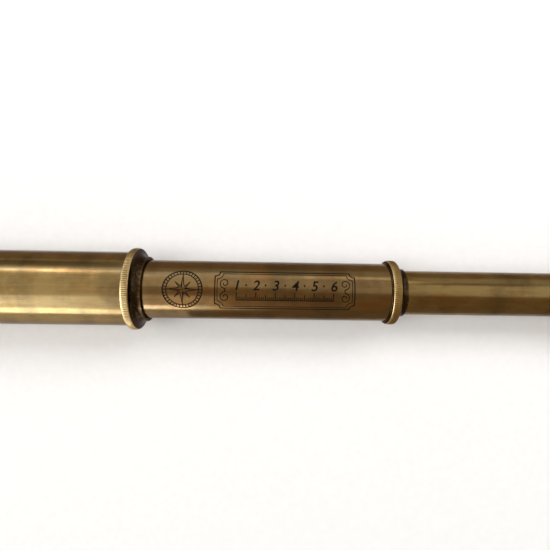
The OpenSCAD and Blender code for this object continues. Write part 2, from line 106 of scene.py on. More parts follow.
# Compass rose: marks of its ring, points, and shares of the inner radius and of a short point's waist
ROSE_MARKS = 36
ROSE_POINTS = 8
SHORT_POINT = 0.66
LONG_WAIST = 0.26
SHORT_WAIST = 0.2
SHORT_START = 0.9
# Widths in etched lines: the rose's ring, the outer and inner border, and the gap between those two
RING_LINE = 1.3
OUTER_LINE = 1.2
INNER_LINE = 0.8
BORDER_GAP = 2.4
# Steps between two numbers of the scale, and heights of the marks at a number, half-way and at a step
TENTHS = 10
MARKS = (1.0, 0.7, 0.42)
# The scale's base and its lozenges' lift in heights of a number, and a lozenge's length in its heights
SCALE_BASE = 0.66
LOZENGE_LIFT = 0.35
LOZENGE_LENGTH = 0.7
# A scroll's distance from the middle in radii, its turns, and how far it winds in
CURL_PLACE = 1.3
CURL_TURNS = 1.3
CURL_IN = 0.75
# Wear, an attribute that the brass reads: dark in a hollow, plain on an open face, bright on an edge.
# Besides antiquing and handling it holds painted light: painted shade in the coves, in the grooves beside
# the beads and on the draw collars' beads, and painted highlights on the knurls' front shoulders and the
# barrel collar's bead
HOLLOW = 0.0
PLAIN = 0.5
BRIGHT = 1.0
# Wear of a knurl's crests, of crests less handled, of its grooves and of a collar's lip
CREST = 0.84
DULL_CREST = 0.55
GROOVE = 0.4
LIP = 0.08
# Materials, named for what they are and how they were made
BARREL_BRASS = "antiqued_drawn_brass_barrel"
DRAW_1_BRASS = "antiqued_drawn_brass_first_draw"
DRAW_2_BRASS = "antiqued_drawn_brass_second_draw"
COLLAR_BRASS = "antiqued_turned_brass"
INNER_BRASS = "plain_turned_brass"
BLACK_BRASS = "acid_blackened_brass"
FELT = "pressed_wool_felt"
ETCHING = "wax_filled_etching"
CROWN_GLASS = "polished_crown_glass"
FLINT_GLASS = "polished_flint_glass"
# Colours of the light
PLAIN_LIGHT = (1.0, 0.98, 0.94)
SOFTBOX_LIGHT = (0.955, 0.965, 1.0)
DAYLIGHT = (0.76, 0.84, 1.0)
CANDLELIGHT = (1.0, 0.55, 0.2)
WOODLIGHT = (1.0, 0.5, 0.08)
ROOM_LIGHT = (1.0, 0.88, 0.68)
# Distances from the middle of the floor, in metres, between which it fades into the room
FADE_START = 1.2
FADE_END = 3.8
# Shares of the brown cards' height between which their colour changes from the painted shadow at
# the foot to the upper colour
FOOT_END = 0.1
CARD_START = 0.6
SENSOR_MM = 36.0
# Sockets of the Mix node when it mixes colours
MIX_A = 6
MIX_B = 7


def length(name, millimetres, text):
    """A length property, written in millimetres and kept in metres."""
    return FloatProperty(
        name=name, description=text, default=millimetres * MM, min=0.0, precision=5, unit="LENGTH")


def number(name, value, text):
    """A property that is a plain number."""
    return FloatProperty(name=name, description=text, default=value, min=0.0)


def linear(hex_colour):
    """Linear RGB of an sRGB hex colour."""
    shares = [int(hex_colour[place:place + 2], 16) / 255 for place in (1, 3, 5)]
    return tuple(s / 12.92 if s <= 0.04045 else ((s + 0.055) / 1.055) ** 2.4 for s in shares)


def colour(name, hex_colour, text):
    """A colour property, written as an sRGB hex value and kept linear."""
    return FloatVectorProperty(
        name=name, description=text, default=linear(hex_colour), min=0.0, max=1.0, size=3, subtype="COLOR")


def span(node):
    """First and last X of a CAD node, and its outer radius about the optical axis."""
    low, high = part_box(node)
    return low.x, high.x, (high.y - low.y) / 2


# Height of the optical axis over the origin
AXIS = sum(end.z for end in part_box("barrel_tube")) / 2


class TubeSizes(bpy.types.PropertyGroup):
    barrel_wall: length("Barrel wall", 0.9, "Wall of the main barrel tube")
    draw_wall: length("Draw wall", 0.8, "Wall of both draw tubes")
    end_round: length("End rounding", 0.15, "Rounding of the cut ends of the tubes")
    steps: IntProperty(name="Steps", description="Flats around a smooth turned part", default=192, min=24)


class KnurlSizes(bpy.types.PropertyGroup):
    pitch: length("Pitch", 1.05, "Spacing of the teeth around a ring")
    depth: length("Depth", 0.18, "Depth of the teeth, which wear has made shallow")
    chamfer: length("Chamfer", 0.42, "Drop of the rounded shoulder at both ends of a knurl")
    shoulder: length("Shoulder", 0.75, "Length of that shoulder")
    crown: length("Crown", 0.05, "How far the knurl falls away towards its ends")
    root_step: length("Root step", 0.45, "Drop from the knurl's crest to the ring that it stands on")
    rubbed: length("Rubbed", 0.005, "How much handling has rubbed off the crests")
    skirt: length("Skirt", 0.5, "How deep the toothed band is sunk into its ring")


class CollarSizes(bpy.types.PropertyGroup):
    bead_w: length("Bead width", 0.6, "Length of the plain bead between a tube and a knurl")
    bead_rise: length("Bead rise", 0.7, "Height of the bead above the tube")
    bead_round: length("Bead rounding", 0.2, "Rounding of the bead's outer edge")
    cove_w: length("Cove width", 3.6, "Length of the hollow between a knurl and the lip")
    lip_round: length("Lip rounding", 0.25, "Rounding of the lip's edge")
    pass_gap: length("Mouth gap", 0.3, "Gap between a collar's mouth and the draw that passes through it")
    mouth_len: length("Mouth length", 3.4, "Length of the close brass mouth in front of the cloth sleeve")
    pocket_depth: length("Pocket depth", 1.11, "Depth of the cloth pocket outside the draw")
    seat_gap: length("Seat gap", 0.05, "Clearance of a screwed fit")
    barrel_knurl_w: length("Barrel collar knurl", 3.8, "Width of the barrel collar's knurl")
    barrel_lip: length("Barrel collar lip", 1.55, "Wall of the barrel collar's lip")
    draw_knurl_w: length("Draw collar knurl", 4.4, "Width of the first draw collar's knurl")
    draw_lip: length("Draw collar lip", 0.75, "Wall of the first draw collar's lip")
    eye_knurl_w: length("Eyepiece collar knurl", 4.0, "Width of the eyepiece collar's knurl")


class CellSizes(bpy.types.PropertyGroup):
    land_len: length("Cap land", 8.0, "Length of the plain land that takes a push-on cap")
    land_d: length("Cap land diameter", 41.2, "Diameter of that land")
    rubbed_w: length("Rubbed edge", 1.0, "How far the wear reaches back from the front edge")
    knurl_w: length("Knurl width", 6.0, "Width of the cell's knurl")
    cove_w: length("Cove width", 3.0, "Length of the hollow between the knurl and the barrel")
    recess_d: length("Recess diameter", 34.8, "Diameter of the recess in front of the glass")
    recess: length("Recess depth", 6.0, "Depth of that recess")
    seat_t: length("Seat thickness", 1.2, "Thickness of the seat that the glass rests against")
    aperture_d: length("Clear aperture", 32.8, "Clear diameter of the objective")
    edge_round: length("Edge rounding", 0.35, "Rounding of the cell's front edges")


class GlassSizes(bpy.types.PropertyGroup):
    crown_r: length("Crown radius", 160.0, "Front radius of the crown element")
    cement_r: length("Cemented radius", 112.0, "Radius of the face between crown and flint")
    flint_r: length("Flint radius", 900.0, "Back radius of the flint element")
    crown_edge: length("Crown edge", 3.0, "Edge thickness of the crown element with its cement")
    cement_t: length("Cement", 0.03, "Thickness of the cement")
    eye_r: length("Eye lens radius", 15.0, "Radius of the eye lens's curved face")
    eye_edge: length("Eye lens edge", 1.4, "Edge thickness of the eye lens")


class EyeCupSizes(bpy.types.PropertyGroup):
    neck_d: length("Neck diameter", 25.6, "Diameter of the neck against the eyepiece collar")
    knurl_w: length("Knurl width", 3.6, "Width of the knurl at the rim")
    rim_w: length("Rim width", 0.6, "Length of the plain rim behind the knurl")
    recess_d: length("Recess diameter", 31.2, "Diameter of the dished recess")
    recess: length("Recess depth", 7.8, "Depth of the recess")
    floor_t: length("Floor", 2.2, "Thickness of the wall that holds the eye hole")
    hole_d: length("Eye hole", 7.0, "Diameter of the eye hole")
    edge_round: length("Edge rounding", 0.3, "Rounding of the rim, the recess and the eye hole")
    small_round: length("Fine rounding", 0.08, "Rounding of the shutter and its screw")


class OrnamentSizes(bpy.types.PropertyGroup):
    rose_gap: length("Rose gap", 16.5, "Distance of the compass rose's middle from the scale's border")
    rose_r: length("Rose radius", 10.4, "Outer radius of the compass rose")
    ring_gap: length("Ring gap", 1.9, "Width of the graduated ring round the rose")
    line_w: length("Line width", 0.5, "Width of the etched lines")
    plate_x: length("Plate X", 0.0, "Start of the numbered scale's border")
    plate_len: length("Plate length", 72.0, "Length of that border")
    plate_h: length("Plate height", 20.0, "Height of that border")
    step: length("Scale step", 10.0, "Distance between two numbers of the scale")
    mark_h: length("Mark height", 4.2, "Height of the marks at the numbers")
    figure_h: length("Figure height", 7.4, "Size of the numbers")
    slant: number("Slant", 0.2, "Slant of the numbers")
    corner: length("Hollow corner", 2.6, "Radius of the hollow corners of the border")
    curl_r: length("Curl radius", 2.7, "Radius of the scrolls at both ends of the scale")
    lozenge: length("Lozenge", 0.75, "Half the height of the lozenges between the numbers")
    rise: length("Rise", 0.015, "How far the filling stands proud of the brass")
    depth: length("Depth", 0.03, "How deep the filling is let into the brass")
    bend: length("Bend", 0.7, "Width of the flats that follow the round of the tube")


class BrassColours(bpy.types.PropertyGroup):
    barrel: colour("Barrel brass", "#927b4e", "Olive gold of the barrel's antiqued brass")
    draw_1: colour("First draw brass", "#806944", "Browner brass of the first draw")
    draw_2: colour("Second draw brass", "#8a744a", "Brass of the second draw")
    collar: colour("Collar brass", "#9a7f4d", "Brass of the collars' open faces")
    # The worn colour also paints highlights on the knurls' front shoulders and the barrel collar's bead,
    # and the patina colour also paints shade in the coves, on the draw collars' beads and in the grooves
    # beside them
    worn: colour("Worn brass", "#e4cc98", "Pale brass where handling has worn the antiquing off")
    stain: colour("Stain", "#7c5420", "Warmer brown clouds in the antiqued brass")
    patina: colour("Patina", "#22160f", "Dark antiquing left in hollows and grooves")
    inner: colour("Inner brass", "#a88a52", "Brass of the parts inside")
    cloth: colour("Sleeve cloth", "#3a2620", "Felt of the sleeves in the collars")
    black: colour("Blacking", "#15130f", "Matt black of the stops and the insides")
    etching: colour("Etching", "#0f0906", "Darkened ornament etched into the first draw")


class StageSizes(bpy.types.PropertyGroup):
    lens: number("Lens", 25.756, "Focal length on a 36 mm sensor")
    camera_turn: FloatVectorProperty(
        name="Camera turn", description="Turn of the camera away from straight down", size=3,
        subtype="EULER", default=[math.radians(angle) for angle in (2.29, -1.39, 0.913)])
    camera_x: length("Camera X", 25.8, "Place of the camera along the spyglass")
    camera_z: length("Camera height", 239.45, "Height of the camera over the origin")
    lamp_distance: length("Lamp distance", 1200.0, "Distance of the lamps from the optical axis")
    # The brown cards glow and only the brass sees them: a painted reflection of a dark wall, and at their
    # foot a painted shadow of the floor under the spyglass
    flag_distance: length("Flag distance", 40.0, "Distance of the brown cards from the optical axis")
    flag_height: length("Flag height", 34.0, "Height of the brown cards")
    flag: colour("Flag", "#ab9880", "Colour of the upper part of the brown cards")
    card_foot_painted_shadow: colour("Flag foot", "#bcb8b4", "Colour of their foot, in the shade of the spyglass")
    floor_radius: length("Floor radius", 4000.0, "Radius of the pale floor")
    floor: colour("Floor", "#f1f0ee", "Colour of the floor")
    touch: length("Touch", 5.2, "How far in front of the barrel collar's mouth it touches the floor")
    glow: number("Floor glow", 0.05, "Light that the floor adds to itself")
    room: number("Room", 0.22, "Light of the room all round")


class SpyglassSettings(bpy.types.PropertyGroup):
    tubes: PointerProperty(type=TubeSizes)
    knurl: PointerProperty(type=KnurlSizes)
    collars: PointerProperty(type=CollarSizes)
    cell: PointerProperty(type=CellSizes)
    glass: PointerProperty(type=GlassSizes)
    cup: PointerProperty(type=EyeCupSizes)
    ornament: PointerProperty(type=OrnamentSizes)
    colours: PointerProperty(type=BrassColours)
    stage: PointerProperty(type=StageSizes)


def corner(x, radius, wear=PLAIN, rounding=0.0):
    """One corner of a turned outline, plain and sharp unless it is said to be otherwise."""
    return x, radius, wear, rounding


def turn(bm, outline, steps, closed=True):
    """Spins an outline of corners once round the X axis."""
    points = [corner(*values) for values in outline]
    layer = bm.verts.layers.float.get("wear") or bm.verts.layers.float.new("wear")
    corners = []
    for x, radius, wear, _ in points:
        vert = bm.verts.new((x, 0.0, radius))
        vert[layer] = wear
        corners.append(vert)
    for first, second in zip(corners, corners[1:]):
        bm.edges.new((first, second))
    if closed:
        bm.edges.new((corners[-1], corners[0]))
    for width in sorted({point[3] for point in points if point[3]}):
        chosen = [vert for vert, point in zip(corners, points) if point[3] == width]
        bmesh.ops.bevel(
            bm, geom=chosen, offset=width, offset_type="OFFSET", segments=3, profile=0.5,
            affect="VERTICES", material=-1)
    before = set(bm.faces)
    # One sector is spun and the others are copies of it, which takes far less time than a whole spin
    bmesh.ops.spin(
        bm, geom=[v for v in bm.verts if not v.link_faces] + [e for e in bm.edges if not e.link_faces],
        cent=(0, 0, 0), axis=(1, 0, 0), angle=FULL_TURN / SECTORS, steps=steps // SECTORS)
    sector = [f for f in bm.faces if f not in before]
    edges = {e for f in sector for e in f.edges}
    verts = {v for f in sector for v in f.verts}
    for i in range(1, SECTORS):
        copy = bmesh.ops.duplicate(bm, geom=list(verts) + list(edges) + sector)["geom"]
        bmesh.ops.rotate(
            bm, verts=[v for v in copy if isinstance(v, bmesh.types.BMVert)], cent=(0, 0, 0),
            matrix=Matrix.Rotation(i * FULL_TURN / SECTORS, 3, "X"))
    bmesh.ops.remove_doubles(bm, verts=bm.verts[:], dist=TURNED_MERGE)


def cove(x_high, r_high, x_low, r_low):
    """Corners of a concave quarter hollow from a high radius down to a low one, dark in its depth with
    antiquing and painted shade.
    """
    corners = []
    for i in range(COVE_STEPS + 1):
        angle = i * QUARTER / COVE_STEPS
        x = x_low + (x_high - x_low) * math.cos(angle)
        corners.append((x, r_high + (r_low - r_high) * math.sin(angle), HOLLOW))
    return corners


def knurl(bm, x_start, x_end, crest, shine, sizes):
    """Adds a toothed band between two stations, rounded at both ends and sunk into its ring."""
    crest -= sizes.rubbed
    # Four divides the number of teeth, so that the sectors divide their steps
    teeth = 4 * round(FULL_TURN * crest / sizes.pitch / 4)
    steps = teeth * len(TOOTH_STEPS)
    front = x_start + sizes.shoulder
    back = x_end - sizes.shoulder
    foot = crest - sizes.chamfer
    middle = crest - sizes.chamfer * SHOULDER_BEND
    inside = crest - sizes.root_step - sizes.skirt
    edge = crest - sizes.crown
    third = (back - front) / 3
    rise = sizes.shoulder * SHOULDER_BEND
    # The shoulder that faces the objective is bright: handling wear, and a painted highlight of the light
    # from that side
    outline = [
        (x_start, inside, HOLLOW), (x_start, foot), (x_start + rise, middle, BRIGHT), (front, edge, BRIGHT),
        (front + third, crest, shine), (back - third, crest, shine), (back, edge, shine),
        (x_end - rise, middle, shine), (x_end, foot), (x_end, inside, HOLLOW)]
    before = set(bm.verts)
    turn(bm, outline, steps)
    wear = bm.verts.layers.float["wear"]
    for vert in (v for v in bm.verts if v not in before):
        radius = math.hypot(vert.co.y, vert.co.z)
        # The shoulders stay uncut
        if radius < middle + sizes.crown:
            continue
        step = round(math.atan2(vert.co.y, vert.co.z) / FULL_TURN * steps)
        share = TOOTH_STEPS[step % len(TOOTH_STEPS)]
        cut = sizes.depth * share
        if abs(vert.co.x - front) < sizes.crown:
            vert.co.x -= cut
        elif abs(vert.co.x - back) < sizes.crown:
            vert.co.x += cut
        vert.co.yz *= (radius - cut) / radius
        vert[wear] += (GROOVE - vert[wear]) * share


def blacken_inside(bm, radius):
    """Gives the second material to every face that lies within a radius of the axis."""
    for face in bm.faces:
        if max(math.hypot(v.co.y, v.co.z) for v in face.verts) <= radius:
            face.material_index = 1


def as_object(bm, name, materials):
    """Makes the mesh an object of the scene."""
    mesh = bpy.data.meshes.new(name)
    bm.to_mesh(mesh)
    bm.free()
    for each in materials:
        mesh.materials.append(each)
    made = bpy.data.objects.new(name, mesh)
    bpy.context.scene.collection.objects.link(made)
    return made


def finish_piece(bm, name, node, finishes, sharp_degrees=SMOOTH_BREAK, stands_for=True):
    """Makes the mesh a piece that rides with its CAD node's body, and may stand for that node."""
    bmesh.ops.recalc_face_normals(bm, faces=bm.faces[:])
    piece = as_object(bm, name, [material(finish) for finish in finishes])
    piece.data.polygons.foreach_set("use_smooth", [True] * len(piece.data.polygons))
    piece.data.set_sharp_from_angle(angle=math.radians(sharp_degrees))
    piece.modifiers.new("Even shading", "WEIGHTED_NORMAL").keep_sharp = True
    cad = frame["nodes"][node]
    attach(piece, cad["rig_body"])
    if stands_for:
        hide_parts(node)
    return piece


def turned_piece(node, ending, outline, finishes, band=None, black_r=0.0, closed=True):
    """Turns a part and cuts its knurl, a band of start, end, crest and wear; inside black_r it is black."""
    settings = bpy.context.scene.spyglass
    bm = bmesh.new()
    turn(bm, outline, settings.tubes.steps, closed)
    if band:
        knurl(bm, *band, settings.knurl)
    if black_r:
        blacken_inside(bm, black_r)
    bmesh.ops.translate(bm, verts=bm.verts[:], vec=(0, 0, AXIS))
    finish_piece(bm, node + ending, node, finishes, KNURL_BREAK if band else SMOOTH_BREAK)


def add(tree, kind, sockets=None, **settings):
    """Adds a shader node, sets its properties, sets or links its sockets; gives its first live output."""
    node = tree.nodes.new("ShaderNode" + kind)
    for key, value in settings.items():
        setattr(node, key, value)
    for key, value in (sockets or {}).items():
        socket = node.inputs[key]
        if isinstance(value, bpy.types.NodeSocket):
            tree.links.new(value, socket)
        elif socket.type == "RGBA":
            socket.default_value = (*value, 1.0)
        else:
            socket.default_value = value
    return next((socket for socket in node.outputs if socket.enabled), None)


def empty_material(name):
    """A material with an empty tree, and the object coordinates that its patterns read."""
    made = bpy.data.materials.new(name)
    made.use_nodes = True
    made.node_tree.nodes.clear()
    return made, made.node_tree, add(made.node_tree, "TexCoord").node.outputs["Object"]


def show(tree, shader):
    """Ends a tree in its output."""
    add(tree, "OutputMaterial", {"Surface": shader})


def antiqued_brass(colours, name, plain, roughness, streaks, lacquer, stain):
    """Cast and drawn brass, chemically browned, rubbed back and lacquered.

    The eye sees a soft satin reflection under a clear thin coat, darker mottling where the browning
    took more, fine lengthwise polishing streaks, and bare pale metal on handled edges. The dark hollows
    and pale edges also hold painted shade and painted highlights.
    """
    _, tree, place = empty_material(name)
    # Polishing streaks are about 0.5 mm across and 45 mm long
    stretched = add(tree, "Mapping", {"Vector": place, "Scale": (1 / 0.045, 1 / 0.0005, 1 / 0.0005)})
    streak = add(tree, "TexNoise", {"Vector": stretched, "Scale": 1.0, "Detail": 3.0, "Roughness": 0.6})
    # Mottling is 15 mm across, and bands from the rubbing cloth are 18 mm apart
    mottle = add(tree, "TexNoise", {"Vector": place, "Scale": 1 / 0.015, "Detail": 4.0, "Roughness": 0.62})
    around = add(tree, "Mapping", {"Vector": place, "Scale": (1 / 0.018, 1 / 0.05, 1 / 0.05)})
    band = add(tree, "TexNoise", {"Vector": around, "Scale": 1.0, "Detail": 3.0, "Roughness": 0.55})
    browned = add(tree, "Math", {0: mottle, 1: band}, operation="ADD")
    streaked = add(tree, "Math", {0: streak, 1: streaks, 2: browned}, operation="MULTIPLY_ADD")
    share = add(tree, "MapRange", {
        "Value": streaked, "From Min": 0.92 + streaks / 2, "From Max": 1.24 + streaks / 2, "To Max": 0.38})
    # Heat and lacquer leave warmer brown clouds, 16 mm long and 5 mm wide
    drawn_out = add(tree, "Mapping", {"Vector": place, "Scale": (1 / 0.016, 1 / 0.005, 1 / 0.005)})
    cloud = add(tree, "TexNoise", {
        "Vector": drawn_out, "Scale": 1.0, "Detail": 4.0, "Roughness": 0.6, "Distortion": 0.5})
    warm = add(tree, "MapRange", {"Value": cloud, "From Min": 0.46, "From Max": 0.66, "To Max": stain})
    tinted = add(tree, "Mix", {"Factor": warm, MIX_A: plain, MIX_B: colours.stain}, data_type="RGBA")
    open_face = add(tree, "Mix", {"Factor": share, MIX_A: tinted, MIX_B: colours.patina}, data_type="RGBA")
    wear = add(tree, "Attribute", attribute_name="wear").node.outputs["Fac"]
    # The grain is 1.5 mm across, so neither the dark hollows, antiquing and painted shade, nor the pale
    # edges, wear and painted highlights, are even
    grain = add(tree, "TexNoise", {"Vector": place, "Scale": 1 / 0.0015, "Detail": 3.0, "Roughness": 0.65})
    uneven = add(tree, "Math", {0: grain, 1: 0.5, 2: -0.25}, operation="MULTIPLY_ADD")
    level = add(tree, "Math", {0: wear, 1: uneven}, operation="ADD")
    # Dark in the hollows: antiquing left there, and painted shade
    hollow = add(tree, "MapRange", {
        "Value": level, "From Min": PLAIN - 0.08, "From Max": HOLLOW, "To Max": 0.95})
    # Pale on the edges: bare worn metal, and painted highlights
    bare = add(tree, "MapRange", {
        "Value": level, "From Min": PLAIN + 0.08, "From Max": BRIGHT, "To Max": 0.9})
    antiqued_and_painted_shade = add(tree, "Mix", {"Factor": hollow, MIX_A: open_face, MIX_B: colours.patina}, data_type="RGBA")
    surface = add(tree, "Mix", {"Factor": bare, MIX_A: antiqued_and_painted_shade, MIX_B: colours.worn}, data_type="RGBA")
    dull = add(tree, "MapRange", {
        "Value": streaked, "From Min": 0.5, "From Max": 1.6,
        "To Min": roughness - 0.05, "To Max": roughness + 0.09})
    # The streaks are scratches a few thousandths of a millimetre deep
    scratched = add(tree, "Bump", {"Strength": 1.0, "Distance": 0.004 * MM, "Height": streak})
    show(tree, add(tree, "BsdfPrincipled", {
        "Base Color": surface, "Metallic": 1.0, "Roughness": dull, "Normal": scratched,
        "Specular Tint": linear("#bcb8bc"), "Coat Weight": lacquer, "Coat Roughness": 0.07,
        "Coat IOR": 1.47, "Coat Tint": linear("#fdf3e2")}))


def turned_inner_brass(colours):
    """Brass turned on a lathe and left plain: bright, with fine rings of the tool 0.2 mm apart."""
    _, tree, place = empty_material(INNER_BRASS)
    across = add(tree, "Mapping", {"Vector": place, "Scale": (1 / 0.0002, 20.0, 20.0)})
    rings = add(tree, "TexNoise", {"Vector": across, "Scale": 1.0, "Detail": 2.0})
    stain = add(tree, "TexNoise", {"Vector": place, "Scale": 1 / 0.006, "Detail": 4.0, "Roughness": 0.6})
    share = add(tree, "MapRange", {"Value": stain, "From Min": 0.45, "From Max": 0.75, "To Max": 0.6})
    surface = add(tree, "Mix", {
        "Factor": share, MIX_A: colours.inner, MIX_B: colours.patina}, data_type="RGBA")
    dull = add(tree, "MapRange", {
        "Value": rings, "From Min": 0.3, "From Max": 0.7, "To Min": 0.24, "To Max": 0.36})
    cut = add(tree, "Bump", {"Strength": 0.6, "Distance": 0.003 * MM, "Height": rings})
    show(tree, add(tree, "BsdfPrincipled", {
        "Base Color": surface, "Metallic": 1.0, "Roughness": dull, "Normal": cut}))


def blackened_brass(colours):
    """Brass blackened in an acid bath: matt, nearly black, a little brown where it is thin."""
    _, tree, place = empty_material(BLACK_BRASS)
    thin = add(tree, "TexNoise", {"Vector": place, "Scale": 1 / 0.002, "Detail": 4.0, "Roughness": 0.6})
    share = add(tree, "MapRange", {"Value": thin, "From Min": 0.5, "From Max": 0.8, "To Max": 0.35})
    surface = add(tree, "Mix", {
        "Factor": share, MIX_A: colours.black, MIX_B: colours.patina}, data_type="RGBA")
    dull = add(tree, "MapRange", {
        "Value": thin, "From Min": 0.3, "From Max": 0.7, "To Min": 0.55, "To Max": 0.7})
    show(tree, add(tree, "BsdfPrincipled", {"Base Color": surface, "Metallic": 0.2, "Roughness": dull}))


def wool_felt(colours):
    """Pressed wool felt: a dull nap of short matted fibres about 0.15 mm thick."""
    _, tree, place = empty_material(FELT)
    nap = add(tree, "TexNoise", {
        "Vector": place, "Scale": 1 / 0.00015, "Detail": 5.0, "Roughness": 0.7, "Distortion": 0.8})
    share = add(tree, "MapRange", {"Value": nap, "From Min": 0.35, "From Max": 0.7, "To Max": 0.7})
    surface = add(tree, "Mix", {
        "Factor": share, MIX_A: colours.cloth, MIX_B: colours.black}, data_type="RGBA")
    fuzz = add(tree, "Bump", {"Strength": 0.8, "Distance": 0.05 * MM, "Height": nap})
    show(tree, add(tree, "BsdfPrincipled", {
        "Base Color": surface, "Roughness": 0.95, "Normal": fuzz,
        "Sheen Weight": 0.4, "Sheen Roughness": 0.5}))


def filled_etching(colours):
    """Lines etched into the brass and filled with dark wax: dull, worn thin in specks of 0.4 mm."""
    _, tree, place = empty_material(ETCHING)
    worn = add(tree, "TexNoise", {"Vector": place, "Scale": 1 / 0.0004, "Detail": 4.0, "Roughness": 0.6})
    share = add(tree, "MapRange", {"Value": worn, "From Min": 0.58, "From Max": 0.78, "To Max": 0.25})
    surface = add(tree, "Mix", {
        "Factor": share, MIX_A: colours.etching, MIX_B: colours.draw_1}, data_type="RGBA")
    show(tree, add(tree, "BsdfPrincipled", {
        "Base Color": surface, "Roughness": 0.75, "Specular IOR Level": 0.05}))


def polished_glass(name, ior, tint):
    """Ground and polished optical glass: clear, sharp in its reflections, with a little dust on it."""
    _, tree, place = empty_material(name)
    dust = add(tree, "TexNoise", {"Vector": place, "Scale": 1 / 0.0008, "Detail": 5.0, "Roughness": 0.7})
    haze = add(tree, "MapRange", {"Value": dust, "From Min": 0.55, "From Max": 0.8, "To Max": 0.05})
    show(tree, add(tree, "BsdfPrincipled", {
        "Base Color": linear(tint), "Roughness": haze, "IOR": ior, "Transmission Weight": 1.0}))


def make_materials():
    """Every material, made once and found by name afterwards."""
    if BARREL_BRASS in bpy.data.materials:
        return
    colours = bpy.context.scene.spyglass.colours
    # Name, colour, roughness, and strength of the streaks, the lacquer and the brown clouds
    for values in (
            (BARREL_BRASS, colours.barrel, 0.17, 0.4, 0.2, 0.3),
            (DRAW_1_BRASS, colours.draw_1, 0.19, 0.3, 0.2, 0.55),
            (DRAW_2_BRASS, colours.draw_2, 0.2, 0.35, 0.12, 0.6),
            (COLLAR_BRASS, colours.collar, 0.27, 0.1, 0.1, 0.3)):
        antiqued_brass(colours, *values)
    turned_inner_brass(colours)
    blackened_brass(colours)
    wool_felt(colours)
    filled_etching(colours)
    polished_glass(CROWN_GLASS, 1.52, "#f6fbf8")
    polished_glass(FLINT_GLASS, 1.62, "#fbf9f0")


def material(name):
    """A material by name, made on first use."""
    make_materials()
    return bpy.data.materials[name]


class SPYGLASS_OT_tubes(bpy.types.Operator):
    """Turns the barrel and the two draw tubes"""
    bl_idname = "spyglass.tubes"
    bl_label = "Barrel and draws"

    def execute(self, context):
        sizes = context.scene.spyglass.tubes
        for node, wall, brass in (
                ("barrel_tube", sizes.barrel_wall, BARREL_BRASS),
                ("draw_1_tube", sizes.draw_wall, DRAW_1_BRASS),
                ("draw_2_tube", sizes.draw_wall, DRAW_2_BRASS)):
            x_start, x_end, radius = span(node)
            bore = radius - wall
            outline = [(x, r, PLAIN, sizes.end_round) for x, r in (
                (x_start, radius), (x_end, radius), (x_end, bore), (x_start, bore))]
            turned_piece(node, "_turned", outline, [brass, BLACK_BRASS], black_r=bore + wall / 4)
        return {"FINISHED"}


class SPYGLASS_OT_collars(bpy.types.Operator):
    """Turns and knurls the barrel collar, the first draw's collar and the eyepiece collar"""
    bl_idname = "spyglass.collars"
    bl_label = "Knurled collars"

    def execute(self, context):
        settings = context.scene.spyglass
        sizes = settings.collars
        mouth_1 = span("draw_1_tube")[2] + sizes.pass_gap
        mouth_2 = span("draw_2_tube")[2] + sizes.pass_gap
        eye_bore = span("eyepiece_tube")[2] + sizes.seat_gap
        pocket = sizes.pocket_depth - sizes.pass_gap
        # Collar, its tube and that tube's wall, width of the knurl, the bead's value (a painted highlight
        # on the barrel collar, painted shade on the draw collars), wear of the knurl's crests, and radii of
        # the lip, the mouth and the pocket
        for values in (
                ("barrel_collar", "barrel_tube", settings.tubes.barrel_wall, sizes.barrel_knurl_w,
                 BRIGHT, CREST, mouth_1 + sizes.barrel_lip, mouth_1, mouth_1 + pocket),
                ("draw_1_collar", "draw_1_tube", settings.tubes.draw_wall, sizes.draw_knurl_w,
                 LIP, DULL_CREST, mouth_2 + sizes.draw_lip, mouth_2, mouth_2 + pocket),
                ("eyepiece_collar", "draw_2_tube", settings.tubes.draw_wall, sizes.eye_knurl_w,
                 LIP, DULL_CREST, settings.cup.neck_d / 2, eye_bore, eye_bore)):
            self.turn_collar(settings, *values)
        return {"FINISHED"}

    def turn_collar(
            self, settings, node, tube, wall, knurl_w, bead_painted_light, crest_wear, lip_r, mouth_r, pocket_r):
        """One collar: bush, bead, knurl, cove and lip, bored for the draw and its cloth."""
        sizes = settings.collars
        x_bush, x_mouth, crest = span(node)
        _, tube_end, tube_r = span(tube)
        bush_r = tube_r - wall - sizes.seat_gap
        shoulder = tube_end + sizes.seat_gap
        bead_r = tube_r + sizes.bead_rise
        root = crest - settings.knurl.root_step
        knurl_start = shoulder + sizes.bead_w
        knurl_end = knurl_start + knurl_w
        pocket_end = x_mouth - sizes.mouth_len
        # The bead is painted light, bright on the barrel collar and dark on the others; the groove behind
        # it and the cove are dark with antiquing and painted shade
        outline = [
            (x_bush, bush_r), (shoulder, bush_r, HOLLOW), (shoulder, bead_r, bead_painted_light, sizes.bead_round),
            (knurl_start, bead_r, HOLLOW), (knurl_start, root, HOLLOW),
            *cove(knurl_end, root, knurl_end + sizes.cove_w, lip_r),
            (x_mouth, lip_r, LIP, sizes.lip_round), (x_mouth, mouth_r, LIP, sizes.bead_round / 2),
            (pocket_end, mouth_r)]
        if pocket_r > mouth_r:
            outline.append((pocket_end, pocket_r))
        outline.append((x_bush, pocket_r))
        band = (knurl_start, knurl_end, crest, crest_wear)
        turned_piece(node, "_knurled", outline, [COLLAR_BRASS], band)


